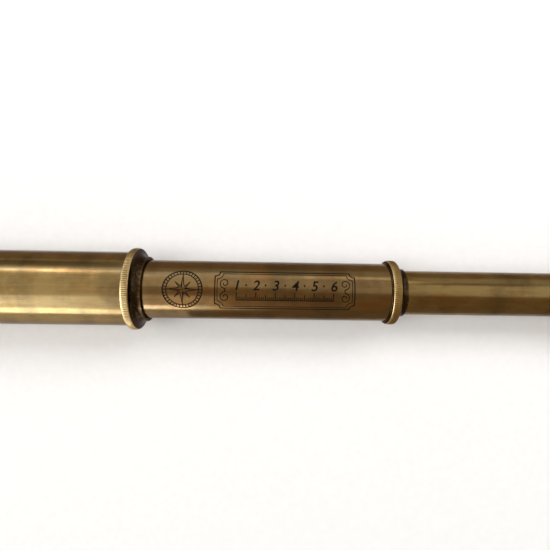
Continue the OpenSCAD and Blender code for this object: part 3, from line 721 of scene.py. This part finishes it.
class SPYGLASS_OT_objective_cell(bpy.types.Operator):
    """Turns and knurls the cell that holds the objective"""
    bl_idname = "spyglass.objective_cell"
    bl_label = "Objective cell"

    def execute(self, context):
        settings = context.scene.spyglass
        sizes = settings.cell
        collars = settings.collars
        x_front, x_back, crest = span("objective_cell")
        barrel_start, _, barrel_r = span("barrel_tube")
        shoulder = barrel_start - collars.seat_gap
        thread_r = barrel_r - settings.tubes.barrel_wall - collars.seat_gap
        glass_r = span("objective_crown_lens")[2] + collars.seat_gap
        root = crest - settings.knurl.root_step
        land = sizes.land_d / 2
        land_end = x_front + sizes.land_len
        knurl_start = land_end + collars.bead_w
        knurl_end = knurl_start + sizes.knurl_w
        seat = x_front + sizes.recess
        aperture_r = sizes.aperture_d / 2
        recess_r = sizes.recess_d / 2
        outline = [
            (x_front, recess_r, BRIGHT, sizes.edge_round), (x_front, land, BRIGHT, sizes.edge_round),
            (x_front + sizes.rubbed_w, land), (land_end, land), (knurl_start, root, HOLLOW),
            *cove(knurl_end, root, knurl_end + sizes.cove_w, barrel_r + collars.bead_rise),
            (shoulder, barrel_r + collars.bead_rise, BRIGHT, collars.bead_round),
            (shoulder, thread_r, HOLLOW), (x_back, thread_r), (x_back, glass_r),
            (seat + sizes.seat_t, glass_r), (seat + sizes.seat_t, aperture_r),
            (seat, aperture_r, BRIGHT, collars.bead_round), (seat, recess_r, HOLLOW)]
        band = (knurl_start, knurl_end, crest, CREST)
        turned_piece("objective_cell", "_knurled", outline, [COLLAR_BRASS], band)
        return {"FINISHED"}


def sag(radius, half):
    """Depth of a spherical face at a distance from the axis."""
    return abs(radius) - math.sqrt(radius * radius - half * half)


def glass_face(x_rim, half, radius):
    """Corners of a polished face from the axis to its rim; a negative radius bulges towards -X."""
    corners = []
    for i in range(GLASS_STEPS + 1):
        r = half * i / GLASS_STEPS
        bulge = sag(radius, half) - sag(radius, r)
        corners.append((x_rim + math.copysign(bulge, radius), r))
    return corners


def lens(node, front, back, glass):
    """One lens, turned from the axis out over its front face and back to the axis."""
    turned_piece(node, "_polished", front + back[::-1], [glass], closed=False)


class SPYGLASS_OT_lenses(bpy.types.Operator):
    """Grinds the two elements of the objective and the eye lens"""
    bl_idname = "spyglass.lenses"
    bl_label = "Lenses"

    def execute(self, context):
        sizes = context.scene.spyglass.glass
        _, crown_end, half = span("objective_crown_lens")
        cemented_rim = crown_end - sag(sizes.cement_r, half)
        front_rim = cemented_rim - sizes.crown_edge + sizes.cement_t
        lens("objective_crown_lens", glass_face(front_rim, half, -sizes.crown_r),
             glass_face(cemented_rim, half, sizes.cement_r), CROWN_GLASS)
        flint_start, flint_end, _ = span("objective_flint_lens")
        lens("objective_flint_lens", glass_face(flint_start, half, sizes.cement_r),
             glass_face(flint_end, half, -sizes.flint_r), FLINT_GLASS)
        _, eye_end, eye_half = span("eye_lens")
        lens("eye_lens", glass_face(eye_end - sizes.eye_edge, eye_half, -sizes.eye_r),
             [(eye_end, 0.0), (eye_end, eye_half)], CROWN_GLASS)
        return {"FINISHED"}


class SPYGLASS_OT_eye_cup(bpy.types.Operator):
    """Turns and knurls the flared eye cup"""
    bl_idname = "spyglass.eye_cup"
    bl_label = "Eye cup"

    def execute(self, context):
        settings = context.scene.spyglass
        sizes = settings.cup
        x_neck, x_rim, crest = span("eye_cup")
        socket = span("eyepiece_tube")[2] + settings.collars.seat_gap
        root = crest - settings.knurl.root_step
        neck = sizes.neck_d / 2
        knurl_end = x_rim - sizes.rim_w
        x_floor = x_rim - sizes.recess
        x_socket = x_floor - sizes.floor_t
        recess_r = sizes.recess_d / 2
        hole_r = sizes.hole_d / 2
        flare = cove(x_floor - sizes.rim_w, root, x_neck + sizes.rim_w, neck)[::-1]
        outline = [
            (x_neck, socket, HOLLOW), (x_neck, neck, PLAIN, settings.collars.bead_round),
            *((x, r) for x, r, _ in flare), (knurl_end, root),
            (x_rim, root - sizes.rim_w, BRIGHT, sizes.edge_round),
            (x_rim, recess_r, BRIGHT, sizes.edge_round),
            (x_floor, recess_r, HOLLOW, sizes.edge_round),
            (x_floor, hole_r, BRIGHT, sizes.edge_round),
            (x_socket, hole_r, HOLLOW), (x_socket, socket, HOLLOW)]
        band = (knurl_end - sizes.knurl_w, knurl_end, crest, CREST)
        turned_piece("eye_cup", "_knurled", outline, [COLLAR_BRASS], band)
        return {"FINISHED"}


def softened(node, width, finish):
    """A CAD node's own form with its edges rounded."""
    bm = bmesh.new()
    bm.from_mesh(frame["nodes"][node].data)
    bmesh.ops.remove_doubles(bm, verts=bm.verts[:], dist=CAD_MERGE)
    bmesh.ops.dissolve_limit(
        bm, angle_limit=math.radians(FLAT), verts=bm.verts[:], edges=bm.edges[:], delimit=set())
    limit = math.radians(ROUNDED_EDGE)
    sharp = [e for e in bm.edges if len(e.link_faces) == 2 and e.calc_face_angle() > limit]
    bmesh.ops.bevel(
        bm, geom=sharp, offset=width, offset_type="OFFSET", segments=2, profile=0.5, affect="EDGES",
        material=-1, clamp_overlap=True)
    wear = bm.verts.layers.float.new("wear")
    for vert in bm.verts:
        vert[wear] = PLAIN
    finish_piece(bm, node + "_softened", node, [finish])


class SPYGLASS_OT_shutter(bpy.types.Operator):
    """Rounds the dust shutter and its screw"""
    bl_idname = "spyglass.shutter"
    bl_label = "Dust shutter"

    def execute(self, context):
        width = context.scene.spyglass.cup.small_round
        softened("eyepiece_shutter", width, COLLAR_BRASS)
        softened("shutter_pivot_screw", width, INNER_BRASS)
        return {"FINISHED"}


def patch(bm, corners):
    """One flat face of the ornament, from (x, s) corners."""
    bm.faces.new([bm.verts.new((x, s, 0.0)) for x, s in corners])


def polar(centre, radius, angle):
    """A point of the flat ornament at a radius and angle from a centre."""
    return Vector((centre[0] + radius * math.cos(angle), centre[1] + radius * math.sin(angle)))


def stroke(bm, points, width, closed=False):
    """An etched line of even width through a row of points, mitred where it turns."""
    points = [Vector(point) for point in points]
    last = len(points) - 1
    rows = []
    for i, point in enumerate(points):
        before = points[i - 1] if closed or i > 0 else point
        after = points[(i + 1) % len(points)] if closed or i < last else point
        arriving = (point - before).normalized()
        leaving = (after - point).normalized()
        along = (arriving + leaving).normalized()
        side = Vector((-along.y, along.x)) * width / 2 / max(along.dot(arriving), along.dot(leaving))
        rows.append([bm.verts.new((*(point + side), 0.0)), bm.verts.new((*(point - side), 0.0))])
    for first, second in zip(rows, rows[1:] + rows[:1] if closed else rows[1:]):
        bm.faces.new([first[0], first[1], second[1], second[0]])


def circle(centre, radius):
    """Points of a circle."""
    return [polar(centre, radius, i * FULL_TURN / RING_STEPS) for i in range(RING_STEPS)]


def hollow_cornered(x_low, x_high, s_low, s_high, hollow_r):
    """Points of a rectangle whose corners are hollowed by a quarter circle."""
    points = []
    for i, place in enumerate(((x_high, s_low), (x_high, s_high), (x_low, s_high), (x_low, s_low))):
        for k in range(CORNER_STEPS + 1):
            points.append(polar(place, hollow_r, FULL_TURN / 2 + (i - k / CORNER_STEPS) * QUARTER))
    return points


def curl(centre, radius, start, turns):
    """Points of a spiral that winds inwards from an angle; negative turns wind it clockwise."""
    return [
        polar(centre, radius * (1 - CURL_IN * i / CURL_STEPS), start + turns * FULL_TURN * i / CURL_STEPS)
        for i in range(CURL_STEPS + 1)]


class SPYGLASS_OT_ornament(bpy.types.Operator):
    """Etches a compass rose and a numbered scale into the first draw"""
    bl_idname = "spyglass.ornament"
    bl_label = "Etched ornament"

    def execute(self, context):
        sizes = context.scene.spyglass.ornament
        bm = bmesh.new()
        self.rose(bm, sizes)
        self.scale(bm, sizes)
        bmesh.ops.recalc_face_normals(bm, faces=bm.faces[:])
        bmesh.ops.reverse_faces(bm, faces=[f for f in bm.faces if f.normal.z < 0])
        self.wrap(bm, sizes)
        piece = finish_piece(bm, "draw_1_etched_ornament", "draw_1_tube", [ETCHING], stands_for=False)
        return {"FINISHED"}

    def rose(self, bm, sizes):
        """Eight points, half of each filled, inside a graduated ring."""
        line = sizes.line_w
        centre = (sizes.plate_x - sizes.rose_gap, 0.0)
        inner_r = sizes.rose_r - sizes.ring_gap
        stroke(bm, circle(centre, sizes.rose_r - line * RING_LINE / 2), line * RING_LINE, closed=True)
        stroke(bm, circle(centre, inner_r - line / 2), line, closed=True)
        for i in range(ROSE_MARKS):
            angle = i * FULL_TURN / ROSE_MARKS
            stroke(bm, [polar(centre, inner_r, angle), polar(centre, sizes.rose_r - line, angle)], line)
        step = FULL_TURN / ROSE_POINTS
        for i in range(ROSE_POINTS):
            long = i % 2 == 0
            waist = inner_r * (LONG_WAIST if long else SHORT_WAIST)
            near = polar(centre, 0.0 if long else waist * SHORT_START, i * step)
            tip = polar(centre, inner_r - line if long else inner_r * SHORT_POINT, i * step)
            patch(bm, [near, tip, polar(centre, waist, (i + 0.5) * step)])
            stroke(bm, [polar(centre, waist, (i - 0.5) * step), tip], line)

    def scale(self, bm, sizes):
        """A double border with hollow corners round a row of numbers, marks and scrolls."""
        line = sizes.line_w
        x_low = sizes.plate_x
        x_high = x_low + sizes.plate_len
        half = sizes.plate_h / 2
        inset = line * BORDER_GAP
        for gap, width in ((0.0, OUTER_LINE), (inset, INNER_LINE)):
            border = hollow_cornered(
                x_low + gap, x_high - gap, gap - half, half - gap, sizes.corner + gap / 3)
            stroke(bm, border, line * width, closed=True)
        base = sizes.figure_h * SCALE_BASE - half
        count = int((sizes.plate_len - 2 * inset) / sizes.step)
        first = x_low + (sizes.plate_len - (count - 1) * sizes.step) / 2
        last = first + (count - 1) * sizes.step
        foot = base + sizes.mark_h + line * 2
        stroke(bm, [(first - line / 2, base), (last + line / 2, base)], line)
        for i in range((count - 1) * TENTHS + 1):
            x = first + i * sizes.step / TENTHS
            height = sizes.mark_h * MARKS[0 if i % TENTHS == 0 else 1 if 2 * i % TENTHS == 0 else 2]
            stroke(bm, [(x, base + line / 2), (x, base + height)], line)
        for i in range(count):
            self.figure(bm, str(i + 1), first + i * sizes.step, foot, sizes)
        rise = sizes.lozenge
        reach = rise * LOZENGE_LENGTH
        s = foot + sizes.figure_h * LOZENGE_LIFT
        for i in range(count - 1):
            x = first + (i + 0.5) * sizes.step
            patch(bm, [(x - reach, s), (x, s - rise), (x + reach, s), (x, s + rise)])
        for side in (-1, 1):
            x = (x_low + x_high) / 2 + side * (sizes.plate_len / 2 - inset * 2 - sizes.curl_r)
            upper = curl((x, sizes.curl_r * CURL_PLACE), sizes.curl_r, -QUARTER, side * CURL_TURNS)
            lower = curl((x, -sizes.curl_r * CURL_PLACE), sizes.curl_r, QUARTER, -side * CURL_TURNS)
            stroke(bm, upper[::-1] + lower, line)

    def figure(self, bm, text, x, s, sizes):
        """One number, made a flat mesh and set on the scale."""
        curve = bpy.data.curves.new("figure", "FONT")
        curve.body = text
        curve.size = sizes.figure_h
        curve.align_x = "CENTER"
        curve.resolution_u = 3
        curve.offset = sizes.line_w / 5
        curve.shear = sizes.slant
        carrier = bpy.data.objects.new("figure", curve)
        mesh = bpy.data.meshes.new_from_object(carrier)
        before = set(bm.verts)
        bm.from_mesh(mesh)
        bmesh.ops.translate(bm, verts=[v for v in bm.verts if v not in before], vec=(x, s, 0.0))
        bpy.data.objects.remove(carrier)
        bpy.data.meshes.remove(mesh)

    def wrap(self, bm, sizes):
        """Thickens the flat ornament and bends it round the first draw."""
        radius = span("draw_1_tube")[2]
        reach = max(abs(v.co.y) for v in bm.verts)
        cuts = int(reach / sizes.bend)
        for i in range(-cuts, cuts + 1):
            bmesh.ops.bisect_plane(
                bm, geom=bm.verts[:] + bm.edges[:] + bm.faces[:], dist=ON_CUT,
                plane_co=(0, i * sizes.bend, 0), plane_no=(0, 1, 0))
        for vert in bm.verts:
            vert.co.z = sizes.rise
        grown = bmesh.ops.extrude_face_region(bm, geom=bm.faces[:], use_keep_orig=True)["geom"]
        for vert in (v for v in grown if isinstance(v, bmesh.types.BMVert)):
            vert.co.z = -sizes.depth
        for vert in bm.verts:
            angle = vert.co.y / radius
            distance = radius + vert.co.z
            vert.co = (vert.co.x, distance * math.sin(angle), AXIS + distance * math.cos(angle))


class SPYGLASS_OT_inner_parts(bpy.types.Operator):
    """Gives the parts that keep their CAD meshes their materials"""
    bl_idname = "spyglass.inner_parts"
    bl_label = "Inner parts"

    def execute(self, context):
        finishes = {
            "inner_brass": INNER_BRASS, "blackened_brass": BLACK_BRASS, "sleeve_cloth": FELT,
            "crown_glass": CROWN_GLASS}
        for node in frame["nodes"].values():
            if node.hide_render:
                continue
            for slot in node.material_slots:
                slot.material = material(finishes[slot.material.name.split(".")[0]])
        return {"FINISHED"}


class SPYGLASS_OT_stage(bpy.types.Operator):
    """Sets the camera, the pale floor and the soft lights"""
    bl_idname = "spyglass.stage"
    bl_label = "Stage"

    def execute(self, context):
        stage = context.scene.spyglass.stage
        self.camera(context, stage)
        self.floor(stage)
        self.room(context, stage)
        # Lamps that the brass mirrors: name, first and last angle from overhead towards +Y, first and
        # last X, radiance, colour
        for values in (
                ("overhead", 10, 50, -2.4, 0.1, 0.88, PLAIN_LIGHT),
                ("overhead_left", -25, 10, -2.4, -0.42, 0.85, PLAIN_LIGHT),
                ("overhead_middle", 8, 46, 0.1, 0.2, 0.66, PLAIN_LIGHT),
                ("overhead_further", -5, 46, 0.2, 0.6, 0.64, PLAIN_LIGHT),
                ("overhead_right", -14, 42, 0.6, 1.6, 0.76, PLAIN_LIGHT),
                ("skylight_edge", 50, 56, -2.4, -0.7, 8.5, DAYLIGHT),
                ("skylight_edge_side", 50, 56, -0.7, -0.42, 4.5, DAYLIGHT),
                ("skylight_side", 56, 66, -2.4, -0.42, 1.2, DAYLIGHT),
                ("skylight_edge_middle", 50, 70, -0.42, 0.05, 1.35, DAYLIGHT),
                ("skylight_edge_right", 49, 60, 0.05, 0.55, 1.7, PLAIN_LIGHT),
                ("far_wall", 55, 90, 0.05, 1.6, 0.42, PLAIN_LIGHT),
                ("far_wall_middle", 68, 90, -0.5, 0.05, 0.34, PLAIN_LIGHT),
                ("candle", 49, 56, -0.72, -0.6, 6.5, CANDLELIGHT),
                ("window", -62, -25, -2.4, -0.62, 2.7, DAYLIGHT),
                ("window_side", -62, -25, -0.62, -0.42, 1.8, DAYLIGHT),
                ("window_far", -62, -25, -0.42, -0.14, 0.95, PLAIN_LIGHT),
                ("window_core", -84, -64, -2.4, -0.6, 7.5, DAYLIGHT),
                ("window_core_side", -84, -66, -0.6, -0.42, 5.0, DAYLIGHT),
                ("window_core_far", -84, -66, -0.42, -0.26, 10.0, DAYLIGHT),
                ("window_core_end", -84, -66, -0.26, -0.05, 1.6, DAYLIGHT),
                ("near_wall", -82, 10, -0.42, 0.1, 0.24, WOODLIGHT),
                ("near_wall_middle", -82, -5, 0.1, 0.5, 0.17, WOODLIGHT),
                ("near_wall_right", -82, -14, 0.5, 1.6, 0.13, WOODLIGHT)):
            self.lamp(context, *values).visible_diffuse = False
        # Windows beyond the two ends, mirrored in the edges that face them: name, place, width, height
        # and radiance
        for name, place, *values in (
                ("objective_end_window", Vector((-1.5, -0.5, 0.62)), 1.5, 1.0, 4.2),
                ("eyepiece_end_window", Vector((1.5, 0.5, 0.6)), 1.2, 0.8, 1.3)):
            facing = (Vector((0, 0, AXIS)) - place).to_track_quat("-Z", "Y").to_euler()
            window = self.area_lamp(context, name, place, facing, *values, DAYLIGHT)
            window.visible_diffuse = False
        # Lamps that light the floor, and aren't mirrored
        for values in (
                ("softbox", -62, 62, -2.0, 1.6, 0.377, SOFTBOX_LIGHT),
                ("fill", -20, 10, -1.7, -0.3, 4.29, SOFTBOX_LIGHT),
                ("key", 24, 50, 0.1, 1.6, 5.34, SOFTBOX_LIGHT)):
            self.lamp(context, *values).visible_glossy = False
        # Glowing cards beside the spyglass, painted reflections of a dark wall and of the shaded floor:
        # name, side, first and last X, brightness
        self.flag(stage, "far_painted_reflection_card", 1, -0.3, 0.3, 1.0)
        self.flag(stage, "near_painted_reflection_card", -1, -0.02, 0.3, 0.8)
        context.scene.view_settings.view_transform = "Standard"
        return {"FINISHED"}

    def camera(self, context, stage):
        """Camera of the photograph: above the spyglass, looking almost straight down."""
        data = bpy.data.cameras.new("camera")
        data.lens = stage.lens
        data.sensor_width = SENSOR_MM
        data.clip_start = 0.01
        camera = bpy.data.objects.new("camera", data)
        camera.location = (stage.camera_x, 0.0, stage.camera_z)
        camera.rotation_mode = "ZYX"
        camera.rotation_euler = stage.camera_turn
        context.scene.collection.objects.link(camera)
        context.scene.camera = camera

    def floor(self, stage):
        """Pale floor that touches the barrel collar and the eye cup, and fades into the room."""
        collar_x = span("barrel_collar")[1] - stage.touch
        _, cup_x, cup_r = span("eye_cup")
        slope = math.atan2(AXIS - cup_r, cup_x - collar_x)
        bm = bmesh.new()
        bmesh.ops.create_circle(bm, cap_ends=True, radius=stage.floor_radius, segments=FLOOR_STEPS)
        bmesh.ops.rotate(bm, verts=bm.verts[:], cent=(0, 0, 0), matrix=Matrix.Rotation(-slope, 3, "Y"))
        bmesh.ops.translate(bm, verts=bm.verts[:], vec=(0, 0, -math.tan(slope) * collar_x))
        floor = as_object(bm, "floor", [self.floor_paper(stage)])

    def floor_paper(self, stage):
        """Matt white paper: it keeps the shadow, shows white to the camera and in the metal."""
        paper, tree, place = empty_material("white_paper")
        fibre = add(tree, "TexNoise", {"Vector": place, "Scale": 1 / 0.004, "Detail": 4.0})
        shade = add(tree, "MapRange", {
            "Value": fibre, "From Min": 0.3, "From Max": 0.7, "To Min": 0.97, "To Max": 1.0})
        pale = add(tree, "Mix", {
            "Factor": shade, MIX_A: linear("#000000"), MIX_B: stage.floor}, data_type="RGBA")
        matt = add(tree, "BsdfDiffuse", {"Color": pale})
        rays = add(tree, "LightPath").node.outputs
        seen = add(tree, "Math", {0: rays["Is Camera Ray"], 1: rays["Is Glossy Ray"]}, operation="MAXIMUM")
        seen = add(tree, "Math", {0: seen, 1: rays["Is Transmission Ray"]}, operation="MAXIMUM")
        strength = add(tree, "Math", {0: seen, 1: stage.glow}, operation="MULTIPLY")
        glow = add(tree, "Emission", {"Color": stage.floor, "Strength": strength})
        lit = add(tree, "AddShader", {0: matt, 1: glow})
        distance = add(tree, "VectorMath", {0: place}, operation="LENGTH")
        fade = add(tree, "MapRange", {
            "Value": distance, "From Min": FADE_START, "From Max": FADE_END},
            interpolation_type="SMOOTHSTEP")
        clear = add(tree, "BsdfTransparent")
        show(tree, add(tree, "MixShader", {0: fade, 1: lit, 2: clear}))
        return paper

    def room(self, context, stage):
        """Even dim light from all round."""
        world = bpy.data.worlds.new("room")
        world.use_nodes = True
        tree = world.node_tree
        tree.nodes.clear()
        even = add(tree, "Background", {"Color": ROOM_LIGHT, "Strength": stage.room})
        add(tree, "OutputWorld", {"Surface": even})
        context.scene.world = world

    def lamp(self, context, name, first, last, x_start, x_end, radiance, tint):
        """A lamp parallel to the spyglass, spanning two angles as seen from its axis."""
        half = math.radians(last - first) / 2
        tilt = math.radians(first + last) / 2
        distance = context.scene.spyglass.stage.lamp_distance
        place = ((x_start + x_end) / 2, distance * math.sin(tilt), AXIS + distance * math.cos(tilt))
        return self.area_lamp(
            context, name, place, (-tilt, 0.0, 0.0), x_end - x_start, 2 * distance * math.tan(half),
            radiance, tint)

    def area_lamp(self, context, name, place, facing, width, height, radiance, tint):
        """A soft lamp of even radiance, which the camera doesn't see."""
        data = bpy.data.lights.new(name, "AREA")
        data.shape = "RECTANGLE"
        data.size = width
        data.size_y = height
        data.energy = radiance * math.pi * width * height
        data.color = tint
        lamp = bpy.data.objects.new(name, data)
        lamp.location = place
        lamp.rotation_euler = facing
        lamp.visible_camera = False
        context.scene.collection.objects.link(lamp)
        return lamp

    def flag(self, stage, name, side, x_start, x_end, radiance):
        """A brown card on edge beside the spyglass that glows, a painted reflection which only the brass
        mirrors.
        """
        y = side * stage.flag_distance
        top = stage.flag_height
        bm = bmesh.new()
        bm.faces.new([bm.verts.new((x, y, z)) for x, z in (
            (x_start, 0.0), (x_end, 0.0), (x_end, top), (x_start, top))])
        card = as_object(bm, name, [self.brown_card(stage, radiance)])
        card.visible_camera = False
        card.visible_diffuse = False
        card.visible_shadow = False
        card.visible_transmission = False

    def brown_card(self, stage, radiance):
        """Brown card that glows as bright as it would look in the light of the stage, a painted reflection,
        and greyer towards its foot, where it paints the floor's shadow under the spyglass.
        """
        card, tree, place = empty_material("brown_card")
        height = add(tree, "SeparateXYZ", {"Vector": place}).node.outputs["Z"]
        share = add(tree, "MapRange", {
            "Value": height, "From Min": FOOT_END * stage.flag_height,
            "From Max": CARD_START * stage.flag_height})
        shade = add(tree, "Mix", {
            "Factor": share, MIX_A: stage.card_foot_painted_shadow, MIX_B: stage.flag}, data_type="RGBA")
        show(tree, add(tree, "Emission", {"Color": shade, "Strength": radiance}))
        return card


OPERATORS = (
    SPYGLASS_OT_stage, SPYGLASS_OT_tubes, SPYGLASS_OT_collars, SPYGLASS_OT_objective_cell,
    SPYGLASS_OT_lenses, SPYGLASS_OT_eye_cup, SPYGLASS_OT_shutter, SPYGLASS_OT_ornament,
    SPYGLASS_OT_inner_parts)


class SPYGLASS_PT_panel(bpy.types.Panel):
    """Lists the steps that make the spyglass"""
    bl_label = "Spyglass"
    bl_idname = "SPYGLASS_PT_panel"
    bl_space_type = "VIEW_3D"
    bl_region_type = "UI"
    bl_category = "Spyglass"

    def draw(self, context):
        for operator in OPERATORS:
            self.layout.operator(operator.bl_idname)


CLASSES = (
    TubeSizes, KnurlSizes, CollarSizes, CellSizes, GlassSizes, EyeCupSizes, OrnamentSizes, BrassColours,
    StageSizes, SpyglassSettings) + OPERATORS + (SPYGLASS_PT_panel,)


def register():
    for cls in CLASSES:
        bpy.utils.register_class(cls)
    bpy.types.Scene.spyglass = PointerProperty(type=SpyglassSettings)


def unregister():
    del bpy.types.Scene.spyglass
    for cls in reversed(CLASSES):
        bpy.utils.unregister_class(cls)


def main():
    register()
    for operator in OPERATORS:
        group, name = operator.bl_idname.split(".")
        getattr(getattr(bpy.ops, group), name)()


if __name__ == "__main__":
    main()
